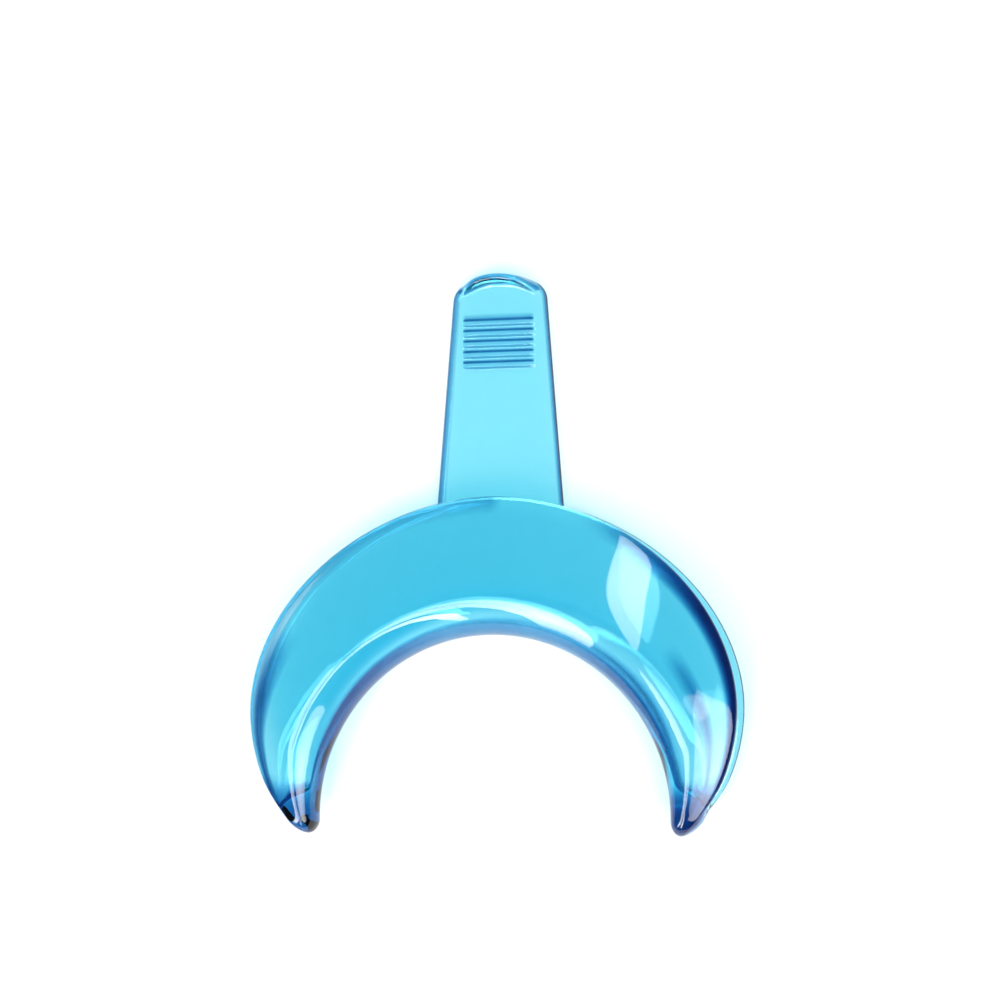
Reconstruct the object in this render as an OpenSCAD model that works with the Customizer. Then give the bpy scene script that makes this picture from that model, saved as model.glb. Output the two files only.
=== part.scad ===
// Cheek retractor: a half-moon cup on a flat handle, moulded in clear blue plastic.
// Seen from the front, the crescent's C opens towards -Y and the handle runs towards +Y.
// The flat back of the handle and of the outer flange lies on z = 0.
// In section the cup is a hook: flat outer flange, rounded bend along the C, inner flange.
// The channel between the flanges opens outwards and takes the corner of the lips.

/* [Crescent] */
// Radius of the C, the inside edge that frames the teeth
mouth_r = 29.4; // [24.4:0.2:35.4]
// Width of the crescent at its middle, from the C up to the rim's top
crown_w = 22.6; // [18.8:0.2:27.2]
// How far the crescent's widest line stands out beyond the C on each side
side_w = 11.2; // [9.2:0.2:13.6]
// Width of each horn at its end, before the end is rounded
tip_w = 3.4; // [2.8:0.1:4.1]
// Distance from the widest line down to the centre of the C
mouth_drop = 17.6; // [15:0.2:21.2]
// Angle from the handle's line round the C to each horn's end
horn_angle = 95; // [88:1:102]
// Power of the crown's curve, where 2 is a true ellipse
crown_power = 1.9; // [1.7:0.01:2.2]

/* [Section] */
// Depth of the cup over both flanges at the middle
cup_d = 13; // [10.5:0.1:16]
// Depth of the horns' ends, front to back
tip_d = 6; // [5:0.1:7.2]
// How far the inner flange's rim falls towards the handle at the crown's middle
rim_fall = 5.4; // [3:0.1:6.5]
// Thickness of the inner flange at the bend
flange_t = 2; // [1.6:0.1:2.5]
// Thickness of the inner flange at its rim
rim_t = 1.5; // [1.2:0.1:2]
// Thickness of the bend along the C
bend_t = 2.2; // [1.8:0.1:2.8]
// Radial reach of the rounded bend
bend_r = 6; // [5:0.1:7.5]
// Length of each solid horn end, as an angle round the C
solid_angle = 9; // [7:0.5:14]

/* [Handle] */
// Length of the handle beyond the top of the crescent
handle_l = 37.5; // [31:0.5:45]
// Width of the handle where it leaves the crescent
root_w = 21.6; // [18:0.2:26]
// Width of the handle at its end, before its corners are rounded
end_w = 15.4; // [12.8:0.2:18.4]
// Thickness of the handle and of the outer flange
handle_t = 2.4; // [2:0.1:3]
// Radius of the handle's end corners
corner_r = 3.4; // [2.6:0.1:4.4]
// Radius of the handle's bowed end
end_r = 12; // [10:0.5:16]
// Height of the turned-up end lip over the handle's face
lip_h = 2.4; // [1.5:0.1:4]
// Thickness of the end lip
lip_t = 1.5; // [1:0.1:2.2]

/* [Grip] */
// Number of grip ribs
rib_n = 5; // [3:1:7]
// Distance from one rib to the next
rib_pitch = 1.75; // [1.5:0.05:2.1]
// Length of each rib across the handle
rib_l = 11.8; // [9:0.2:12.6]
// Height of each rib
rib_h = 0.6; // [0.4:0.05:0.9]
// Distance from the handle's end to the first rib
rib_start = 7.8; // [6.4:0.2:12]

/* [Hidden] */

clear_blue = [0.40, 0.82, 0.96, 0.6];
deep_blue = [0.16, 0.62, 0.85, 0.7];

// Steps in the lofts: along each half of the crescent, over the bend, a flange and a rim
half_steps = 26;
tip_steps = 9;
bend_steps = 14;
flange_steps = 5;
rim_steps = 5;
arc_steps = 8;

// The channel ends and the solid horn end begins at this angle.
channel_end = horn_angle - solid_angle;
// The flanges are parallel up to this angle, and then draw together towards the horns.
flat_to = 40;
// Power of the curve that the inner flange falls along, from the bend to its rim
fall_power = 1.4;
// The last few degrees of a horn round off to its end.
dome = 4.2;
// Power of the horns' oval section, where 2 is a true ellipse
oval_power = 2.3;
// The end lip's outer face stands this far inside the end's rounded edge.
lip_set = 0.3;
// Ribs and lip are sunk this deep into the blade.
sunk = 0.2;
// Straight wall kept between the bend and a flange, and flange kept at the channel's end
bend_land = 0.6;
last_land = 1;

// The lofts work round the C's centre, and the widest line lies mouth_drop above it.
half_w = mouth_r + side_w;
crown_y = mouth_r + crown_w;
crown_h = crown_y - mouth_drop;
end_y = crown_y + handle_l;
// Below the widest line an ellipse of this depth runs through the horns' ends.
horn_r = mouth_r + tip_w;
skirt_h = (mouth_drop - horn_r * cos(horn_angle)) / sqrt(1 - pow(horn_r * sin(horn_angle) / half_w, 2));
// The handle leaves the outer flange on the chord of the rim that is as wide as its root.
joint_y = mouth_drop + crown_h * pow(1 - pow(root_w / 2 / half_w, crown_power), 1 / crown_power);
joint_angle = atan(root_w / 2 / joint_y);
// The joint's edges are rounded over half the handle's thickness.
joint_flat = atan((root_w - handle_t) / 2 / joint_y);

// ---- The crescent in plan, by its angle round the C, where 0 is along the handle ----

// Negative inside the outline, zero on it and positive outside
function outside(x, y) =
    let (power = y > mouth_drop ? crown_power : 2, height = y > mouth_drop ? crown_h : skirt_h)
    pow(abs(x) / half_w, power) + pow(abs(y - mouth_drop) / height, power) - 1;

// Distance from the C's centre to the outline, found by halving an interval
function outline_r(a, low = 0, high = 6 * half_w, turns = 30) =
    let (middle = (low + high) / 2)
    turns == 0
    ? middle
    : outside(middle * sin(a), middle * cos(a)) > 0
        ? outline_r(a, low, middle, turns - 1)
        : outline_r(a, middle, high, turns - 1);

// 0 where the flanges are parallel, rising smoothly to 1 at the horns' ends
function drawn(a) =
    abs(a) <= flat_to ? 0 : 1 - cos(90 * (abs(a) - flat_to) / (horn_angle - flat_to));

function low_z(a) = drawn(a) * (cup_d - tip_d) / 2;
function high_z(a) = cup_d - low_z(a);
function bend_reach(a) = min(bend_r, 0.45 * (outline_r(a) - mouth_r));

// Where the bend ends and the flanges start, out at the rim where the channel ends
function split_r(a) =
    let (
        near = mouth_r + bend_reach(a) + bend_land,
        far = outline_r(a) - last_land - handle_t / 2,
        share = pow(min(1, abs(a) / channel_end), 7)
    )
    near + (far - near) * share;

// 0 at the bend and 1 at the rim
function across(a, r) =
    let (start = mouth_r + bend_reach(a))
    max(0, min(1, (r - start) / (outline_r(a) - start)));

// 1 at the crown's middle, falling smoothly to 0 at the horns' ends
function midmost(a) = 1 - pow(a / horn_angle, 2);

function front_z(a, r) = high_z(a) - rim_fall * midmost(a) * pow(across(a, r), fall_power);
function channel_z(a, r) = front_z(a, r) - flange_t + (flange_t - rim_t) * across(a, r);

// ---- Sections in the upright plane at one angle, each as [one side, other side] ----

// Half of a rim's rounding, from the face towards the outermost point, turned with a sloping flange
function rim_round(edge, z, reach, half_t, side, slope = 0) =
    [for (k = [0:rim_steps - 1])
        let (t = side * (90 - 90 * k / (rim_steps - 0.5)) + slope)
        [edge + reach * cos(t), z + half_t * sin(t)]];

function inner_flange_section(a) =
    let (
        split = split_r(a),
        half_t = rim_t / 2,
        edge = outline_r(a) - half_t,
        slope = atan(front_z(a, edge) - front_z(a, edge - 1)),
        edge_z = front_z(a, edge) - half_t / cos(slope)
    )
    [
        concat(
            [for (k = [0:flange_steps - 1])
                let (r = split + (edge - split) * k / flange_steps)
                [r, front_z(a, r)]],
            rim_round(edge, edge_z, half_t, half_t, 1, slope)
        ),
        concat(
            [for (k = [0:flange_steps - 1])
                let (r = split + (edge - split) * k / flange_steps)
                [r, channel_z(a, r)]],
            rim_round(edge, edge_z, half_t, half_t, -1, slope)
        )
    ];

function outer_flange_section(a) =
    let (
        split = split_r(a),
        half_t = handle_t / 2,
        joined = abs(a) < joint_flat + 0.01,
        rim = joined || abs(a) < joint_angle ? joint_y / cos(a) : outline_r(a),
        edge = rim - half_t,
        z = low_z(a),
        reach = joined ? 0 : half_t,
        face = joined ? rim : edge
    )
    [for (side = [-1, 1])
        concat(
            [for (k = [0:flange_steps - 1])
                [split + (edge - split) * k / flange_steps, z + half_t + side * half_t]],
            rim_round(face, z + half_t, reach, half_t, side)
        )];

// The bend runs from the front skin round the C's edge to the back skin.
function bend_section(a) =
    let (
        split = split_r(a),
        reach = bend_reach(a),
        low = low_z(a),
        high = high_z(a),
        floor_z = low + handle_t,
        roof_z = channel_z(a, split),
        pocket = split - mouth_r - bend_t
    )
    [
        concat(
            [[split, front_z(a, split)]],
            [for (k = [0:bend_steps])
                let (t = 180 * k / bend_steps)
                [mouth_r + reach * (1 - sin(t)), (low + high) / 2 + (high - low) / 2 * cos(t)]],
            [[split, low]]
        ),
        [for (k = [0:bend_steps + 2])
            let (t = 180 * k / (bend_steps + 2))
            [split - pocket * sin(t), (floor_z + roof_z) / 2 + (roof_z - floor_z) / 2 * cos(t)]]
    ];

// A horn's section turns from the skins' shape into an oval towards the horn's end.
function drawn_oval(a, p, size) =
    let (
        middle = [(mouth_r + outline_r(a)) / 2, cup_d / 2],
        half_r = (outline_r(a) - mouth_r) / 2,
        half_z = cup_d / 2 - low_z(a),
        off = p - middle,
        share = 0.85 * min(1, (abs(a) - channel_end) / solid_angle),
        reach = pow(abs(off[0]) / half_r, oval_power) + pow(abs(off[1]) / half_z, oval_power)
    )
    middle + off * size * (1 - share + share * pow(reach, -1 / oval_power));

// Beyond the channel the section is solid: all three skins, closed by a bulging outer side.
function tip_section(a) =
    let (
        front = inner_flange_section(a)[0],
        bend = bend_section(a)[0],
        back = outer_flange_section(a)[0],
        skin = concat(
            [for (k = [len(front) - 1:-1:1]) front[k]],
            bend,
            [for (k = [1:len(back) - 1]) back[k]]
        ),
        first = skin[0],
        last = skin[len(skin) - 1],
        steps = len(skin) - 1,
        bulge = 0.9 * min(1, (abs(a) - channel_end) / (solid_angle - dome)),
        closing = [for (k = [0:steps])
            let (t = (k + 0.5) / (steps + 1))
            first + (last - first) * t + [bulge * sin(180 * t), 0]],
        q = max(0, (abs(a) - horn_angle + dome) / dome),
        size = sqrt(max(0.02, 1 - q * q))
    )
    [for (side = [skin, closing]) [for (p = side) drawn_oval(a, p, size)]];

// ---- Lofts: sections placed round the C and joined into one closed skin ----

function placed(a, p) = [p[0] * sin(a), p[0] * cos(a), p[1]];

function ring(a, section) =
    concat(
        [for (p = section[0]) placed(a, p)],
        [for (k = [len(section[1]) - 1:-1:0]) placed(a, section[1][k])]
    );

module loft(rings) {
    n = len(rings[0]);
    half = n / 2;
    last = (len(rings) - 1) * n;
    sides = [for (j = [0:len(rings) - 2]) for (k = [0:n - 1])
        let (a = j * n + k, b = j * n + (k + 1) % n)
        each [[a, b, a + n], [b, b + n, a + n]]];
    first_cap = [for (k = [0:half - 2]) [k + 1, k, n - 1 - k, n - 2 - k]];
    last_cap = [for (f = first_cap) [for (k = [3:-1:0]) f[k] + last]];
    polyhedron([for (r = rings) each r], concat(sides, first_cap, last_cap), convexity = 6);
}

right_angles = concat(
    [for (k = [0:2]) joint_flat * k / 3],
    [joint_flat, joint_angle],
    [for (k = [1:half_steps]) joint_angle + (channel_end - joint_angle) * k / half_steps]
);
all_angles = concat(
    [for (k = [len(right_angles) - 1:-1:1]) -right_angles[k]],
    right_angles
);
tip_angles = concat(
    [for (k = [0:tip_steps / 3]) channel_end + (solid_angle - dome) * k / (tip_steps / 3)],
    [for (k = [1:tip_steps]) horn_angle - dome + dome * sin(90 * k / tip_steps)]
);
tip_rings = [for (a = tip_angles) ring(a, tip_section(a))];

// The part's box is centred over the origin.
low_y = min([for (r = tip_rings) for (p = r) p[1]]);
centre_y = (end_y + low_y) / 2;

module in_place() {
    translate([0, -centre_y, 0]) children();
}

module outer_flange() {
    color(clear_blue) in_place()
        loft([for (a = all_angles) ring(a, outer_flange_section(a))]);
}

module inner_flange() {
    color(deep_blue) in_place()
        loft([for (a = all_angles) ring(a, inner_flange_section(a))]);
}

module lip_bend() {
    color(deep_blue) in_place()
        loft([for (a = all_angles) ring(a, bend_section(a))]);
}

module horn_end() {
    loft(tip_rings);
}

module right_tip() {
    color(deep_blue) in_place() horn_end();
}

module left_tip() {
    color(deep_blue) in_place() mirror([1, 0, 0]) horn_end();
}

// ---- The handle: a tapering blade with a bowed end, all its free edges rounded ----

taper = atan((root_w - end_w) / 2 / (end_y - joint_y));
along = [-sin(taper), cos(taper)];
outward = [cos(taper), sin(taper)];
bow_centre = [0, end_y - end_r];
// The corner's centre lies corner_r inside both the side and the bowed end.
corner_start = [root_w / 2, joint_y] - outward * corner_r - bow_centre;
corner_run = -corner_start * along
    + sqrt(pow(corner_start * along, 2) - corner_start * corner_start + pow(end_r - corner_r, 2));
corner = corner_start + along * corner_run + bow_centre;
bow_angle = atan2(corner[1] - bow_centre[1], corner[0]);

function turned(centre, r, angle) = centre + r * [cos(angle), sin(angle)];

// The blade's outline drawn in by an inset, from the root round to the middle of the end
function half_outline(inset) =
    concat(
        [[root_w / 2 - inset / cos(taper), joint_y]],
        [for (k = [0:arc_steps])
            turned(corner, corner_r - inset, taper + (bow_angle - taper) * k / arc_steps)],
        [for (k = [1:arc_steps])
            turned(bow_centre, end_r - inset, bow_angle + (90 - bow_angle) * k / arc_steps)]
    );

function outline(inset, z) =
    let (right = half_outline(inset))
    concat(
        [for (p = right) [p[0], p[1], z]],
        [for (k = [len(right) - 2:-1:0]) [-right[k][0], right[k][1], z]]
    );

module blade() {
    layers = 8;
    half_t = handle_t / 2;
    rings = [for (k = [0:layers])
        let (t = 180 * k / layers)
        outline(half_t * (1 - sin(t)), half_t * (1 - cos(t)))];
    n = len(rings[0]);
    sides = [for (j = [0:layers - 1]) for (k = [0:n - 1])
        let (a = j * n + k, b = j * n + (k + 1) % n)
        each [[a, a + n, b], [b, a + n, b + n]]];
    bottom = [[for (k = [0:n - 1]) k]];
    top = [[for (k = [n - 1:-1:0]) layers * n + k]];
    polyhedron([for (r = rings) each r], concat(sides, bottom, top), convexity = 2);
}

// The end lip stands on the bowed end, with a round top and a fillet at its foot.
module lip_profile() {
    foot = handle_t / 2;
    fillet = lip_t / 2;
    outer_r = end_r - lip_set;
    top_z = handle_t + lip_h - lip_t / 2;
    translate([outer_r - lip_t, foot]) square([lip_t, top_z - foot]);
    translate([outer_r - lip_t / 2, top_z]) circle(lip_t / 2, $fn = 48);
    difference() {
        translate([outer_r - lip_t - fillet, foot]) square([fillet, handle_t + fillet - foot]);
        translate([outer_r - lip_t - fillet, handle_t + fillet]) circle(fillet, $fn = 48);
    }
}

module end_lip() {
    sweep = 180 - 2 * bow_angle;
    translate([bow_centre[0], bow_centre[1], 0])
        rotate(bow_angle)
            rotate_extrude(angle = sweep, $fn = 96) lip_profile();
}

// One rib: a steep face towards the handle's end and a long slope towards the cup
module rib() {
    crest = 0.3;
    run = rib_pitch * 0.85;
    rotate([90, 0, 90])
        linear_extrude(rib_l, center = true)
            polygon([[0, -sunk], [0, rib_h - 0.1], [-0.1, rib_h], [-crest, rib_h], [-run, -sunk]]);
}

module handle() {
    color(clear_blue) in_place() {
        blade();
        end_lip();
        for (k = [0:rib_n - 1])
            translate([0, end_y - rib_start - k * rib_pitch, handle_t]) rib();
    }
}

handle();
outer_flange();
lip_bend();
inner_flange();
left_tip();
right_tip();
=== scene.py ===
import math

import bpy
from mathutils import Matrix, Vector


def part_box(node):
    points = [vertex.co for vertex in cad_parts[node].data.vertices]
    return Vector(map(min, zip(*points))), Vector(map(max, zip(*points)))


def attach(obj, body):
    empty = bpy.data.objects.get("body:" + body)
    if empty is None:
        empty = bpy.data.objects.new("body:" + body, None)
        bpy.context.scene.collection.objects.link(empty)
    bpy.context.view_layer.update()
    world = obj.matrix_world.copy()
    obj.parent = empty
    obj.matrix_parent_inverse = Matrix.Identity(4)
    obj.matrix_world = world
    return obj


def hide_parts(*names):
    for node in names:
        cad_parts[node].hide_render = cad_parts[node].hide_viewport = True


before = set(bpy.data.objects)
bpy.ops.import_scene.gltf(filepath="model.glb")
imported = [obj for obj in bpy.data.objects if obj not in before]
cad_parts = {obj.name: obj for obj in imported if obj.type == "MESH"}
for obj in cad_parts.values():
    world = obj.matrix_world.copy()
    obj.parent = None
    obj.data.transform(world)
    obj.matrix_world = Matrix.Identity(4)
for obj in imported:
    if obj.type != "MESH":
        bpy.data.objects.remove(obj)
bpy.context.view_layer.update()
mm = 0.001

print("frame loaded:", len(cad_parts), "nodes")


# small helpers

def wipeSelection():
    if bpy.context.object and bpy.context.object.mode != "OBJECT":
        bpy.ops.object.mode_set(mode="OBJECT")
    bpy.ops.object.select_all(action="DESELECT")


def smooth(x):
    x = max(0.0, min(1.0, x))
    return x * x * (3 - 2 * x)


def mix(a, b, t):
    return a + (b - a) * t


def steps(first, last, count):
    return [mix(first, last, k / count) for k in range(count + 1)]


# the cup is worked out in millimetres round the centre of the C, angle 0 along the handle

cup = {
    "mouthRadius": 29.4,
    "mouthDrop": 17.6,
    "crownWidth": 22.6,
    "crownPower": 1.9,
    "sideWidth": 11.2,
    "tipWidth": 3.4,
    "hornAngle": 95.0,
    "channelEnd": 88.5,
    "flatTo": 40.0,
    "dome": 4.2,
    "depth": 13.0,
    "tipDepth": 6.0,
    "rimFall": 5.4,
    "fallPower": 1.4,
    "backWall": 2.4,
    "frontWall": 2.0,
    "rimWall": 1.5,
    "bendWall": 2.2,
    "bendReach": 6.0,
    "bendLand": 0.6,
    "lastLand": 1.0,
    "bulge": 0.9,
    "fillBefore": 8.0,
    "fillOver": 9.5,
    "ovalBefore": 2.0,
    "ovalOver": 9.0,
    "ovalShare": 0.85,
    "ovalPower": 2.3,
    "skinSteps": 6,
    "bendSteps": 16,
    "pocketSteps": 12,
    "backRimSteps": 8,
    "frontRimSteps": 6,
    "stationStep": 1.5,
    "domeSteps": 8,
}

handle = {
    "rootWidth": 21.6,
    "endWidth": 15.4,
    "cornerRadius": 3.4,
    "endRadius": 12.0,
    "lipHeight": 2.4,
    "lipWall": 1.5,
    "lipSet": 0.3,
    "lipTo": 4.9,
    "lipFade": 1.2,
    "ribs": 5,
    "ribPitch": 1.75,
    "ribHalf": 5.9,
    "ribHeight": 0.6,
    "ribStart": 7.8,
}

crownY = cup["mouthRadius"] + cup["crownWidth"]
crownHeight = crownY - cup["mouthDrop"]
cupHalf = cup["mouthRadius"] + cup["sideWidth"]
hornX = (cup["mouthRadius"] + cup["tipWidth"]) * math.sin(math.radians(cup["hornAngle"]))
hornY = (cup["mouthRadius"] + cup["tipWidth"]) * math.cos(math.radians(cup["hornAngle"]))
skirtHeight = (cup["mouthDrop"] - hornY) / math.sqrt(1 - (hornX / cupHalf) ** 2)
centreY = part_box("inner_flange")[1].y / mm - crownY
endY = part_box("handle")[1].y / mm - centreY


def outsideBy(x, y):
    up = y > cup["mouthDrop"]
    power = cup["crownPower"] if up else 2
    height = crownHeight if up else skirtHeight
    return (abs(x) / cupHalf) ** power + (abs(y - cup["mouthDrop"]) / height) ** power - 1


def outlineRadius(degrees):
    angle = math.radians(degrees)
    low, high = 0.0, 3 * cupHalf
    for turn in range(40):
        middle = (low + high) / 2
        if outsideBy(middle * math.sin(angle), middle * math.cos(angle)) > 0:
            high = middle
        else:
            low = middle
    return (low + high) / 2


def drawnIn(degrees):
    if abs(degrees) <= cup["flatTo"]:
        return 0.0
    share = (abs(degrees) - cup["flatTo"]) / (cup["hornAngle"] - cup["flatTo"])
    return 1 - math.cos(math.radians(90 * share))


def halfRound(edge, middleZ, half, count, slope=0):
    # a rim's rounding, from its back face over the outermost point to its front face
    return [(edge + half * math.cos(t + slope), middleZ + half * math.sin(t + slope))
            for t in steps(-math.pi / 2, math.pi / 2, count)]


def hookSection(degrees):
    rim = outlineRadius(degrees)
    drawn = drawnIn(degrees)
    low = drawn * (cup["depth"] - cup["tipDepth"]) / 2
    high = cup["depth"] - low
    reach = min(cup["bendReach"], 0.45 * (rim - cup["mouthRadius"]))
    start = cup["mouthRadius"] + reach
    near = start + cup["bendLand"]
    far = rim - cup["lastLand"] - cup["backWall"] / 2
    split = mix(near, far, min(1, abs(degrees) / cup["channelEnd"]) ** 7)

    def across(r):
        return max(0, min(1, (r - start) / (rim - start)))

    # the inner flange's rim falls towards the handle at the crown's middle
    fall = cup["rimFall"] * (1 - (degrees / cup["hornAngle"]) ** 2)

    def frontZ(r):
        return high - fall * across(r) ** cup["fallPower"]

    def roofZ(r):
        return frontZ(r) - mix(cup["frontWall"], cup["rimWall"], across(r))

    frontEdge = rim - cup["rimWall"] / 2
    backEdge = rim - cup["backWall"] / 2
    floorZ = low + cup["backWall"]
    n = cup["skinSteps"]
    points = [(r, frontZ(r)) for r in steps(frontEdge, split, n)]
    for t in steps(0, math.pi, cup["bendSteps"]):
        r = cup["mouthRadius"] + reach * (1 - math.sin(t))
        points.append((r, (low + high) / 2 + (high - low) / 2 * math.cos(t)))
    points += [(r, low) for r in steps(split, backEdge, n)[:-1]]
    points += halfRound(backEdge, low + cup["backWall"] / 2, cup["backWall"] / 2, cup["backRimSteps"])
    points += [(r, floorZ) for r in steps(backEdge, split, n)[1:-1]]
    pocket = split - cup["mouthRadius"] - cup["bendWall"]
    top = roofZ(split)
    for t in steps(0, math.pi, cup["pocketSteps"]):
        points.append((split - pocket * math.sin(t), (floorZ + top) / 2 - (top - floorZ) / 2 * math.cos(t)))
    points += [(r, roofZ(r)) for r in steps(split, frontEdge, n)[1:-1]]
    slope = math.atan(frontZ(frontEdge) - frontZ(frontEdge - 1))
    rimZ = frontZ(frontEdge) - cup["rimWall"] / 2 / math.cos(slope)
    points += halfRound(frontEdge, rimZ, cup["rimWall"] / 2, cup["frontRimSteps"], slope)[:-1]
    return points


skinCount = cup["skinSteps"] + 1 + cup["bendSteps"] + 1 + cup["skinSteps"]
ringCount = len(hookSection(0))
rimRows = range(skinCount, skinCount + cup["backRimSteps"] + 1)


def ringSection(degrees):
    hook = hookSection(degrees)
    solid = smooth((abs(degrees) - cup["channelEnd"] + cup["fillBefore"]) / cup["fillOver"])
    if solid == 0:
        return hook
    # the channel fills up: its points move out to a bulging outer side
    first, last = hook[skinCount - 1], hook[0]
    count = ringCount - skinCount
    filled = hook[:skinCount]
    for k in range(count):
        t = (k + 1) / (count + 1)
        bulge = cup["bulge"] * math.sin(math.pi * t)
        filled.append((mix(first[0], last[0], t) + bulge, mix(first[1], last[1], t)))
    # then the horn turns into a full oval
    rim = outlineRadius(degrees)
    drawn = drawnIn(degrees)
    low = drawn * (cup["depth"] - cup["tipDepth"]) / 2
    middle = Vector(((cup["mouthRadius"] + rim) / 2, cup["depth"] / 2))
    halfR, halfZ = (rim - cup["mouthRadius"]) / 2, cup["depth"] / 2 - low
    oval = cup["ovalShare"] * smooth((abs(degrees) - cup["channelEnd"] + cup["ovalBefore"]) / cup["ovalOver"])
    past = max(0, (abs(degrees) - cup["hornAngle"] + cup["dome"]) / cup["dome"])
    size = math.sqrt(max(0, 1 - past * past))
    power = cup["ovalPower"]
    points = []
    for a, b in zip(hook, filled):
        p = Vector(a).lerp(Vector(b), solid) - middle
        grow = ((abs(p.x) / halfR) ** power + (abs(p.y) / halfZ) ** power) ** (-1 / power)
        p = p.lerp(p * grow, oval)
        points.append(middle + p * size)
    return points


# stations round the C: close together where the handle grows out, and at the horns' ends

halfRoot = handle["rootWidth"] / 2
halfWall = cup["backWall"] / 2
rootPart = 1 - (halfRoot / cupHalf) ** cup["crownPower"]
jointY = cup["mouthDrop"] + crownHeight * rootPart ** (1 / cup["crownPower"])
jointAngle = math.degrees(math.atan(halfRoot / jointY))
columnX = [0, 1.9, 3.8, handle["ribHalf"] - 0.15, handle["ribHalf"] + 0.15, 7.8, halfRoot - halfWall]

rightStations = [math.degrees(math.atan(x / jointY)) for x in columnX[:-1]] + [jointAngle]
rightStations += [jointAngle + 0.9, jointAngle + 2.0]
free = cup["hornAngle"] - cup["dome"]
stationCount = round((free - rightStations[-1]) / cup["stationStep"])
rightStations += steps(rightStations[-1], free, stationCount)[1:]
rightStations += [free + cup["dome"] * math.sin(math.radians(90 * k / cup["domeSteps"]))
                  for k in range(1, cup["domeSteps"] + 1)]
stations = [-a for a in reversed(rightStations[1:])] + rightStations
middleStation = len(rightStations) - 1
jointStations = range(middleStation - len(columnX) + 1, middleStation + len(columnX))

wipeSelection()
bpy.ops.mesh.primitive_circle_add(vertices=ringCount, radius=5 * mm, fill_type="NOTHING",
                                  location=(0, 40 * mm, 0), rotation=(0, math.radians(90), 0))
retractor = bpy.context.object
retractor.name = "clearCup"
bpy.ops.object.transform_apply(location=True, rotation=True, scale=True)
for name in ("slice", "station", "reach"):
    retractor.data.attributes.new(name, "INT", "POINT")
retractor.data.attributes["slice"].data.foreach_set("value", list(range(ringCount)))

turn = math.radians(190)
bpy.ops.object.mode_set(mode="EDIT")
bpy.ops.mesh.select_all(action="SELECT")
bpy.ops.mesh.spin(steps=len(stations) - 1, angle=turn, center=(0, 0, 0), axis=(0, 0, 1))
bpy.ops.object.mode_set(mode="OBJECT")

sections = [ringSection(a) for a in stations]
mesh = retractor.data
slices = [d.value for d in mesh.attributes["slice"].data]
places = []
for vertex in mesh.vertices:
    angle = math.atan2(vertex.co.x, vertex.co.y)
    if angle < -0.01:
        angle += 2 * math.pi
    places.append(round(angle / turn * (len(stations) - 1)))
mesh.attributes["station"].data.foreach_set("value", places)
print("cup spun:", len(mesh.vertices), "points in", len(stations), "rings of", ringCount)


def cupPoint(place, part):
    r, z = sections[place][part]
    angle = math.radians(stations[place])
    return Vector((r * math.sin(angle), r * math.cos(angle), z))


# the handle grows out of the outer flange's rim, pulled out station by station

taper = math.atan((handle["rootWidth"] - handle["endWidth"]) / 2 / (endY - jointY))
rootY = jointY - 0.9
bowY = endY - handle["endRadius"]
lastStraight = endY - handle["ribStart"] + 0.9


def halfWidthAt(y):
    return halfRoot - (y - jointY) * math.tan(taper)


def cornerCentre():
    # corner radius inside both the tapered side and the bowed end
    outward = Vector((math.cos(taper), math.sin(taper)))
    alongSide = Vector((-math.sin(taper), math.cos(taper)))
    start = Vector((halfRoot, jointY)) - outward * handle["cornerRadius"] - Vector((0, bowY))
    dot = start.dot(alongSide)
    between = handle["endRadius"] - handle["cornerRadius"]
    run = -dot + math.sqrt(dot * dot - start.dot(start) + between ** 2)
    return start + alongSide * run + Vector((0, bowY))


corner = cornerCentre()
bowAngle = math.atan2(corner.y - bowY, corner.x)
cornerMiddle = (taper + bowAngle) / 2


def endOutline(x, inset):
    # x from -1 to 1 along the end, between the middles of its two corners
    cornerRun = (bowAngle - cornerMiddle) * handle["cornerRadius"]
    bowRun = (math.pi / 2 - bowAngle) * handle["endRadius"]
    run = (1 - abs(x)) * (cornerRun + bowRun)
    if run < cornerRun:
        a = cornerMiddle + run / handle["cornerRadius"]
        p = corner + (handle["cornerRadius"] - inset) * Vector((math.cos(a), math.sin(a)))
    else:
        a = bowAngle + (run - cornerRun) / handle["endRadius"]
        p = Vector((0, bowY)) + (handle["endRadius"] - inset) * Vector((math.cos(a), math.sin(a)))
    return Vector((math.copysign(p.x, x), p.y))


def sideOutline(v, inset):
    # v from 0 at the last straight station to 1 at the corner's middle, on the right side
    first = Vector((halfRoot, jointY)) + Vector((-math.sin(taper), math.cos(taper))) * (
        (lastStraight - jointY) / math.cos(taper))
    touch = corner + handle["cornerRadius"] * Vector((math.cos(taper), math.sin(taper)))
    straightRun = (touch - first).length
    cornerRun = (cornerMiddle - taper) * handle["cornerRadius"]
    run = v * (straightRun + cornerRun)
    if run < straightRun:
        return first.lerp(touch, run / straightRun) - inset * Vector((math.cos(taper), math.sin(taper)))
    a = taper + (run - straightRun) / handle["cornerRadius"]
    return corner + (handle["cornerRadius"] - inset) * Vector((math.cos(a), math.sin(a)))


def endPatch(x, v, inset):
    # a patch between the last straight station, both sides and the bowed end
    width = halfWidthAt(lastStraight) - inset
    line = Vector((x * width, lastStraight))
    bow = endOutline(x, inset)
    side = sideOutline(v, inset)
    left, right = Vector((-side.x, side.y)), side
    lineCorner = Vector((width, lastStraight))
    bowCorner = endOutline(1, inset)
    share = (x + 1) / 2
    between = left.lerp(right, share)
    cornersLow = Vector((-lineCorner.x, lineCorner.y)).lerp(lineCorner, share)
    cornersHigh = Vector((-bowCorner.x, bowCorner.y)).lerp(bowCorner, share)
    return line.lerp(bow, v) + between - cornersLow.lerp(cornersHigh, v)


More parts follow.
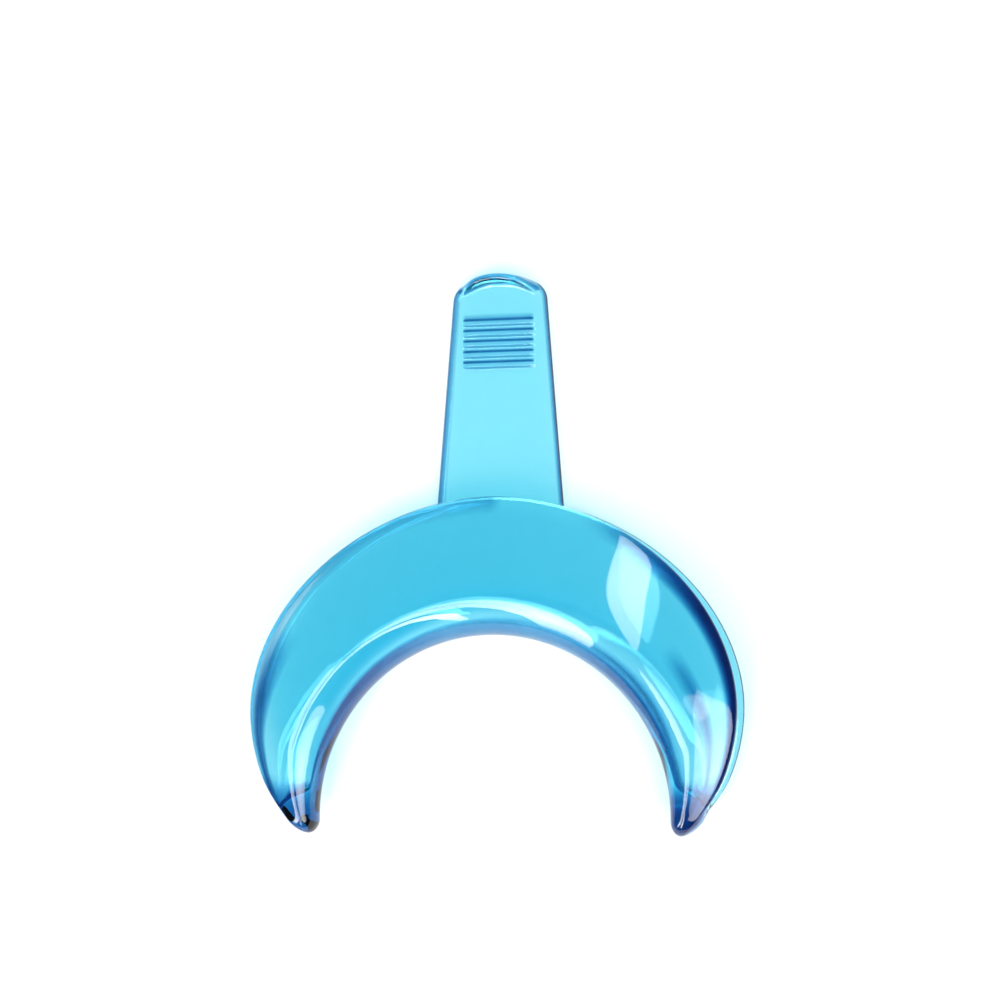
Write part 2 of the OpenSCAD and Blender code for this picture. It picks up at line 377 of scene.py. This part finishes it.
# the face's height along the handle: (distance, height) of every station
ribShape = [(-1.3, 0), (-1.2, 0.04), (-1.02, 0.86), (-0.92, 0.98),
            (-0.32, 1), (-0.22, 0.94), (0, 0.08), (0.08, 0)]
stationsAlong = [(rootY + 1.3, 0), (rootY + 3, 0)]
firstRib = endY - handle["ribStart"] - (handle["ribs"] - 1) * handle["ribPitch"]
stationsAlong += [(y, 0) for y in steps(rootY + 3, firstRib - 2, 6)[1:]]
for k in range(handle["ribs"]):
    stationsAlong += [(firstRib + k * handle["ribPitch"] + d, h) for d, h in ribShape]
stationsAlong += [(lastStraight, 0)]

# the end's profile as (inset, height): plain edge, and with the turned-up lip
topZ = cup["backWall"] + handle["lipHeight"]
lipRound = handle["lipWall"] / 2
lipMiddle = handle["lipSet"] + lipRound
lipInner = handle["lipSet"] + handle["lipWall"]
rowCount = cup["backRimSteps"] + 1
plainRows = [(halfWall * (1 - math.cos(t)), halfWall * (1 + math.sin(t)))
             for t in steps(-math.pi / 2, math.pi / 2, rowCount - 1)]
lipRows = plainRows[:5] + [
    (0.12, halfWall + 0.55),
    (handle["lipSet"], cup["backWall"] + 0.1),
    (handle["lipSet"], topZ - lipRound),
    (handle["lipSet"] + 0.22, topZ - 0.22),
]
lipTops = [
    (lipMiddle, topZ),
    (lipInner - 0.22, topZ - 0.22),
    (lipInner, topZ - lipRound),
    (lipInner, cup["backWall"] + lipRound),
    (lipInner + 0.22, cup["backWall"] + 0.22),
    (lipInner + lipRound, cup["backWall"]),
    (lipInner + lipRound + 0.4, cup["backWall"]),
]
plainTops = [(inset, cup["backWall"]) for inset in steps(1.45, lipInner + lipRound + 0.4, len(lipTops) - 1)]
patchStations = [0.25, 0.5]
lastReach = len(stationsAlong) + len(patchStations) + len(lipTops) + 1


def handlePoint(place, part, reach):
    column = place - jointStations[0]
    side = column - (len(columnX) - 1)
    rootX = math.copysign(columnX[abs(side)], side)
    row = part - rimRows[0]
    onSide = abs(side) == len(columnX) - 1
    inset, z = plainRows[row]

    def columnAt(y):
        # columns inside the ribs' ends stay put, the outer ones follow the taper
        inner = handle["ribHalf"] + 0.15
        if abs(rootX) <= inner:
            return rootX
        share = (abs(rootX) - inner) / (columnX[-1] - inner)
        return math.copysign(mix(inner, halfWidthAt(y) - halfWall, share), side)

    if reach <= len(stationsAlong):
        y, height = stationsAlong[reach - 1]
        if onSide:
            return Vector((math.copysign(halfWidthAt(y) - inset, side), y, z))
        if row == 0:
            return Vector((columnAt(y), y, z))
        rise = height * handle["ribHeight"] if abs(rootX) < handle["ribHalf"] else 0
        return Vector((columnAt(y), y, z + rise))

    x = columnAt(lastStraight) / (halfWidthAt(lastStraight) - halfWall)
    lip = 1 - smooth((abs(x) * 7 - handle["lipTo"]) / handle["lipFade"])
    if reach == lastReach:
        a, b = plainRows[row], lipRows[row]
        p = endOutline(x, mix(a[0], b[0], lip))
        return Vector((p.x, p.y, mix(a[1], b[1], lip)))

    step = reach - len(stationsAlong) - 1
    length = endOutline(x, halfWall).y - lastStraight
    if step < len(patchStations):
        v = patchStations[step]
        height = cup["backWall"]
    else:
        index = len(lipTops) - 1 - (step - len(patchStations))
        a, b = plainTops[index], lipTops[index]
        v = 1 - (mix(a[0], b[0], lip) - halfWall) / length
        height = mix(a[1], b[1], lip)
    if onSide:
        p = sideOutline(min(1, v), inset)
        return Vector((math.copysign(p.x, side), p.y, z))
    if v > 1:
        p = endOutline(x, halfWall - (v - 1) * length)
    else:
        p = endPatch(x, v, halfWall)
    return Vector((p.x, p.y, 0 if row == 0 else height))


for vertex in mesh.vertices:
    vertex.co = cupPoint(places[vertex.index], slices[vertex.index])

for polygon in mesh.polygons:
    polygon.select = all(slices[v] in rimRows and places[v] in jointStations for v in polygon.vertices)
for edge in mesh.edges:
    edge.select = False
for vertex in mesh.vertices:
    vertex.select = False
for polygon in mesh.polygons:
    if polygon.select:
        for v in polygon.vertices:
            mesh.vertices[v].select = True
bpy.context.tool_settings.mesh_select_mode = (False, False, True)
for reach in range(1, lastReach + 1):
    bpy.ops.object.mode_set(mode="EDIT")
    bpy.ops.mesh.extrude_region_move(TRANSFORM_OT_translate={"value": (0, 1, 0)})
    bpy.ops.object.mode_set(mode="OBJECT")
    reached = mesh.attributes["reach"].data
    for vertex in mesh.vertices:
        if vertex.select:
            reached[vertex.index].value = reach

slices = [d.value for d in mesh.attributes["slice"].data]
places = [d.value for d in mesh.attributes["station"].data]
reaches = [d.value for d in mesh.attributes["reach"].data]
for vertex in mesh.vertices:
    place, part, reach = places[vertex.index], slices[vertex.index], reaches[vertex.index]
    if reach:
        vertex.co = handlePoint(place, part, reach)
    elif place in jointStations and part in rimRows:
        # the rim opens into the handle; its last station is the mitred corner
        side = place - middleStation
        inset, z = plainRows[part - rimRows[0]]
        if abs(side) == len(columnX) - 1:
            vertex.co = (math.copysign(halfRoot - inset, side), jointY - 0.2 * halfWall, z)
        else:
            vertex.co = (math.copysign(columnX[abs(side)], side), rootY, z)


# painted shade: how much dark blue is painted at each point, in place of the darkening that refraction and
# long paths through the plastic give: rims, ribs, the inside of the C and horn tips, with the left and right
# sides painted differently

deepBlue = {
    "faces": 0.03,
    "sideRows": [0, 0.3, 0.7, 1, 1, 0.9, 0.28, 0, 0],
    "endRows": [0, 0.2, 0.5, 0.8, 0.8, 0.5, 0.3, 0.55, 0.35],
    "rib": [0.02, 0.3, 0.3, 0.12, 0.15, 1.15, 1.15, 0.3],
    "bendLine": [1, 1, 0.6, 0.2],
    "bendAtMiddle": 0.5,
    "bendFrom": 15,
    "bendOver": 40,
    "rightRim": 0.9,
    "rightRimFrom": 15,
    "rightRimOver": 40,
    "leftRim": 0.1,
    "leftFrom": 44,
    "leftOver": 22,
    "leftInner": 0.6,
    "rightLine": 0.45,
    "rightLineFrom": 46,
    "rightLineOver": 12,
    "tipFrom": 78,
    "tipOver": 11,
    "leftTip": 0.95,
    "rightTip": 0.7,
    "tipFace": 0.9,
}


# painted shade on the handle: dark bands along its sides, on its end lip and on the ribs' steep faces
def handlePaintedShade(place, part, reach):
    side = place - middleStation
    row = part - rimRows[0]
    if abs(side) == len(columnX) - 1:
        return deepBlue["sideRows"][row]
    if row == 0:
        return 0
    if reach <= len(stationsAlong):
        ribStations = handle["ribs"] * len(ribShape)
        along = reach - 1 - (len(stationsAlong) - 1 - ribStations)
        inRibs = 0 <= along < ribStations and columnX[abs(side)] < handle["ribHalf"]
        return deepBlue["rib"][along % len(ribShape)] if inRibs else 0
    if reach == lastReach:
        return deepBlue["endRows"][row]
    return 0


def bendPaintedShade(bendPart, a, toTip):
    # a painted dark line along the inside of the C, strongest towards the horns, and painted shade at the
    # horn tips
    line = deepBlue["bendLine"]
    fromEdge = int(abs(bendPart - cup["bendSteps"] / 2))
    shade = line[fromEdge] if fromEdge < len(line) else 0
    shade *= mix(deepBlue["bendAtMiddle"], 1, smooth((abs(a) - deepBlue["bendFrom"]) / deepBlue["bendOver"]))
    return max(shade, deepBlue["faces"], (deepBlue["leftTip"] if a < 0 else deepBlue["rightTip"]) * toTip)


# painted shade along the outer rims, stronger on the right and towards the tips
def rimPaintedShade(a, toTip):
    if a > 0:
        side = smooth((a - deepBlue["rightRimFrom"]) / deepBlue["rightRimOver"])
        return max(deepBlue["rightRim"] * side, toTip)
    return mix(deepBlue["leftRim"], 1, toTip)


def facePaintedShade(part, a, toTip):
    # the inner flange's face: a painted dark line inside its left rim, and a painted dark line on the right
    # only
    line = 0
    if a < 0 and part in (1, 2):
        line = smooth((-a - deepBlue["leftFrom"]) / deepBlue["leftOver"])
        line *= 1 if part == 1 else mix(deepBlue["leftInner"], 1, toTip)
    if a > 0 and part == 4:
        line = deepBlue["rightLine"] * smooth((a - deepBlue["rightLineFrom"]) / deepBlue["rightLineOver"])
    if part < 4:
        line = max(line, toTip)
    return max(line, deepBlue["faces"], deepBlue["tipFace"] * toTip)


# painted shade on the cup, picked by where the point lies in its ring
def cupPaintedShade(place, part):
    a = stations[place]
    toTip = smooth((abs(a) - deepBlue["tipFrom"]) / deepBlue["tipOver"])
    bendPart = part - cup["skinSteps"] - 1
    if 0 <= bendPart <= cup["bendSteps"]:
        return bendPaintedShade(bendPart, a, toTip)
    if part == 0 or part >= ringCount - cup["frontRimSteps"]:
        return rimPaintedShade(a, toTip)
    if part <= cup["skinSteps"]:
        return facePaintedShade(part, a, toTip)
    return 0


# the painted shade is kept as a point attribute for the material
mesh.attributes.new("deep", "FLOAT", "POINT")
mesh.attributes["deep"].data.foreach_set("value", [
    float(handlePaintedShade(place, part, reach) if reach else cupPaintedShade(place, part))
    for place, part, reach in zip(places, slices, reaches)])

# into the row frame, in metres
mesh.transform(Matrix.Translation((0, centreY * mm, 0)) @ Matrix.Scale(mm, 4))

wipeSelection()
retractor.select_set(True)
bpy.context.view_layer.objects.active = retractor
bpy.ops.object.mode_set(mode="EDIT")
bpy.ops.mesh.select_all(action="SELECT")
bpy.ops.mesh.remove_doubles(threshold=0.000002)
bpy.ops.mesh.normals_make_consistent(inside=False)
bpy.ops.object.mode_set(mode="OBJECT")
smoother = retractor.modifiers.new("smoother", "SUBSURF")
smoother.levels = 1
smoother.render_levels = 1
bpy.ops.object.modifier_apply(modifier="smoother")
bpy.ops.object.shade_smooth()
print("retractor shaped:", len(mesh.polygons), "faces")


# clear blue plastic

plastic = {
    "ior": 1.52,
    "roughness": 0.015,
    "tint": (0.03, 0.888, 0.99, 1),
    "density": 250.0,
    "deepTint": (0.0005, 0.012, 0.09, 1),
    "deepUneven": (0.8, 1.15),
    "deepGrain": 220,
    "flowScale": 60,
    "flowStrength": 0.06,
    "flowDepth": 0.0002,
    "wear": 0.03,
    "wearScale": 300,
    "lampTint": (0.9, 0.915, 0.93, 1),
}


def plasticMaterial(name):
    material = bpy.data.materials.new(name)
    material.use_nodes = True
    nodes, links = material.node_tree.nodes, material.node_tree.links
    nodes.clear()
    output = nodes.new("ShaderNodeOutputMaterial")
    skin = nodes.new("ShaderNodeBsdfPrincipled")
    skin.inputs["Transmission Weight"].default_value = 1
    skin.inputs["IOR"].default_value = plastic["ior"]
    coords = nodes.new("ShaderNodeTexCoord")

    flow = nodes.new("ShaderNodeTexNoise")
    flow.inputs["Scale"].default_value = plastic["flowScale"]
    flow.inputs["Detail"].default_value = 2
    links.new(coords.outputs["Object"], flow.inputs["Vector"])
    bump = nodes.new("ShaderNodeBump")
    bump.inputs["Strength"].default_value = plastic["flowStrength"]
    bump.inputs["Distance"].default_value = plastic["flowDepth"]
    links.new(flow.outputs["Fac"], bump.inputs["Height"])
    links.new(bump.outputs["Normal"], skin.inputs["Normal"])

    wear = nodes.new("ShaderNodeTexNoise")
    wear.inputs["Scale"].default_value = plastic["wearScale"]
    wear.inputs["Detail"].default_value = 4
    links.new(coords.outputs["Object"], wear.inputs["Vector"])
    gloss = nodes.new("ShaderNodeMapRange")
    gloss.inputs["To Min"].default_value = plastic["roughness"]
    gloss.inputs["To Max"].default_value = plastic["roughness"] + plastic["wear"]
    links.new(wear.outputs["Fac"], gloss.inputs["Value"])
    links.new(gloss.outputs["Result"], skin.inputs["Roughness"])

    # painted shade: the base colour is darkened to deep blue by the per-point painted-shade value, made
    # uneven by noise
    deep = nodes.new("ShaderNodeAttribute")
    deep.attribute_name = "deep"
    uneven = nodes.new("ShaderNodeTexNoise")
    uneven.inputs["Scale"].default_value = plastic["deepGrain"]
    links.new(coords.outputs["Object"], uneven.inputs["Vector"])
    share = nodes.new("ShaderNodeMapRange")
    share.inputs["To Min"].default_value = plastic["deepUneven"][0]
    share.inputs["To Max"].default_value = plastic["deepUneven"][1]
    links.new(uneven.outputs["Fac"], share.inputs["Value"])
    edge = nodes.new("ShaderNodeMath")
    edge.operation = "MULTIPLY"
    edge.use_clamp = True
    links.new(deep.outputs["Fac"], edge.inputs[0])
    links.new(share.outputs["Result"], edge.inputs[1])
    tint = nodes.new("ShaderNodeGamma")
    tint.inputs["Color"].default_value = plastic["deepTint"]
    links.new(edge.outputs["Value"], tint.inputs["Gamma"])
    links.new(tint.outputs["Color"], skin.inputs["Base Color"])

    # lamps and the floor's soft light pass straight through, tinted by the depth of plastic
    rays = nodes.new("ShaderNodeLightPath")
    through = nodes.new("ShaderNodeMath")
    through.operation = "MAXIMUM"
    links.new(rays.outputs["Is Shadow Ray"], through.inputs[0])
    links.new(rays.outputs["Is Diffuse Ray"], through.inputs[1])
    clear = nodes.new("ShaderNodeBsdfTransparent")
    clear.inputs["Color"].default_value = plastic["lampTint"]
    pick = nodes.new("ShaderNodeMixShader")
    links.new(through.outputs["Value"], pick.inputs["Fac"])
    links.new(skin.outputs["BSDF"], pick.inputs[1])
    links.new(clear.outputs["BSDF"], pick.inputs[2])
    links.new(pick.outputs["Shader"], output.inputs["Surface"])

    depth = nodes.new("ShaderNodeVolumeAbsorption")
    depth.inputs["Color"].default_value = plastic["tint"]
    depth.inputs["Density"].default_value = plastic["density"]
    links.new(depth.outputs["Volume"], output.inputs["Volume"])
    return material


mesh.materials.clear()
mesh.materials.append(plasticMaterial("clearBlue"))
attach(retractor, "root")
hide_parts("handle", "outer_flange", "lip_bend", "inner_flange", "left_tip", "right_tip")
print("plastic ready")


# floor

room = {
    "floor": (0.64, 0.642, 0.645, 1),
    "floorDark": (0.6, 0.602, 0.606, 1),
    "size": 3.0,
    "grain": 400,
    "air": (0.75, 0.85, 0.95, 1),
    "airStrength": 0.12,
    "lampSpread": 80,
}

wipeSelection()
bpy.ops.mesh.primitive_plane_add(size=room["size"], location=(0, 0, -0.0001))
floor = bpy.context.object
floor.name = "floor"
floorMaterial = bpy.data.materials.new("paleTable")
floorMaterial.use_nodes = True
floorNodes, floorLinks = floorMaterial.node_tree.nodes, floorMaterial.node_tree.links
floorSkin = floorNodes["Principled BSDF"]
floorSkin.inputs["Roughness"].default_value = 0.7
floorCoords = floorNodes.new("ShaderNodeTexCoord")
grain = floorNodes.new("ShaderNodeTexNoise")
grain.inputs["Scale"].default_value = room["grain"]
grain.inputs["Detail"].default_value = 5
floorTone = floorNodes.new("ShaderNodeMix")
floorTone.data_type = "RGBA"
floorTone.inputs[6].default_value = room["floorDark"]
floorTone.inputs[7].default_value = room["floor"]
floorLinks.new(floorCoords.outputs["Object"], grain.inputs["Vector"])
floorLinks.new(grain.outputs["Fac"], floorTone.inputs[0])
floorLinks.new(floorTone.outputs[2], floorSkin.inputs["Base Color"])
floor.data.materials.append(floorMaterial)


# studio lights

def softbox(name, azimuth, tilt, distance, width, height, power, shape="RECTANGLE"):
    # azimuth from +Y towards +X, tilt from straight above
    turn, lean = math.radians(azimuth), math.radians(tilt)
    aim = Vector((math.sin(turn) * math.sin(lean), math.cos(turn) * math.sin(lean), math.cos(lean)))
    place = aim * distance
    data = bpy.data.lights.new(name, "AREA")
    data.shape = shape
    data.size = width
    data.size_y = height
    data.energy = power
    data.spread = math.radians(room["lampSpread"])
    lamp = bpy.data.objects.new(name, data)
    bpy.context.scene.collection.objects.link(lamp)
    lamp.location = place
    lamp.rotation_euler = (-place).to_track_quat("-Z", "Y").to_euler()
    return lamp


softbox("ellipsePane", 15, 36, 0.8, 0.1, 0.66, 0.26, shape="ELLIPSE")
softbox("leafPane", 85, 24, 0.8, 0.1, 0.2, 0.03, shape="ELLIPSE")
softbox("cupPaneWide", 217, 45, 0.7, 0.17, 0.75, 1.15)
softbox("cupPaneNarrow", 190, 45, 0.7, 0.055, 0.75, 0.5)
softbox("topPane", 120, 38, 1.2, 0.9, 0.9, 4.7)

world = bpy.data.worlds.new("studio")
bpy.context.scene.world = world
world.use_nodes = True
air = world.node_tree.nodes["Background"]
air.inputs["Color"].default_value = room["air"]
air.inputs["Strength"].default_value = room["airStrength"]
bpy.context.scene.view_settings.view_transform = "Standard"
print("stage ready")


# camera: a little from the right and from the cup's side

view = {
    "target": (0.0007, 0.0082, 0.004),
    "right": 15.0,
    "down": 4.8,
    "lens": 100.0,
    "field": 0.1635,
}

toCamera = Vector((math.tan(math.radians(view["right"])), -math.tan(math.radians(view["down"])), 1))
toCamera.normalize()
cameraData = bpy.data.cameras.new("camera")
cameraData.lens = view["lens"]
cameraData.sensor_width = 36
cameraData.clip_start = 0.01
camera = bpy.data.objects.new("camera", cameraData)
bpy.context.scene.collection.objects.link(camera)
rightward = Vector((0, 1, 0)).cross(toCamera).normalized()
upward = toCamera.cross(rightward)
turned = Matrix((rightward, upward, toCamera)).transposed().to_4x4()
distance = view["field"] * view["lens"] / 36
camera.matrix_world = Matrix.Translation(Vector(view["target"]) + toCamera * distance) @ turned
bpy.context.scene.camera = camera
print("camera at", [round(c, 3) for c in camera.location])
